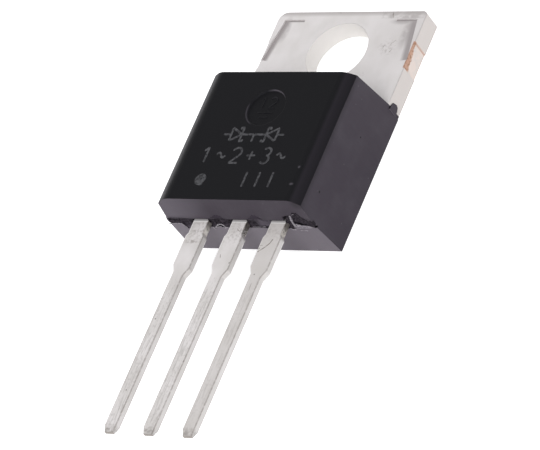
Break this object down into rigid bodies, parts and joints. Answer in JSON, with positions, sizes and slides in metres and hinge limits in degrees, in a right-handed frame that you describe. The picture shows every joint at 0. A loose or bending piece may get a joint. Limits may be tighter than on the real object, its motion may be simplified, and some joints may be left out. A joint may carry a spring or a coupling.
{
  "type": "dual schottky diode",
  "caption": "Through-hole dual Schottky rectifier: black moulded block on a tin-plated heat-sink tab with a mounting hole, and flat leads in a row.",
  "frame": {"origin": "on the axis of the mounting hole, at the back face of the tab", "axes": "+X across the leads, +Y from the leads towards the free end of the tab, +Z out of the front face of the moulding"},
  "size_m": [0.0098, 0.0286, 0.0046],
  "materials": {
    "moulding": "black epoxy moulding compound, matte from the mould",
    "tinned_copper": "matte tin plate over copper",
    "silicon": "silicon with a metallised top",
    "solder": "dull solder",
    "bond_wire": "drawn aluminium wire"
  },
  "bodies": {
    "root": {"moulding": "moulding", "header": "tinned_copper", "lead_left": "tinned_copper", "lead_right": "tinned_copper", "die_left": "silicon", "die_right": "silicon", "solder_left": "solder", "solder_right": "solder", "wire_left_inner": "bond_wire", "wire_left_outer": "bond_wire", "wire_right_inner": "bond_wire", "wire_right_outer": "bond_wire"}
  },
  "joints": []
}
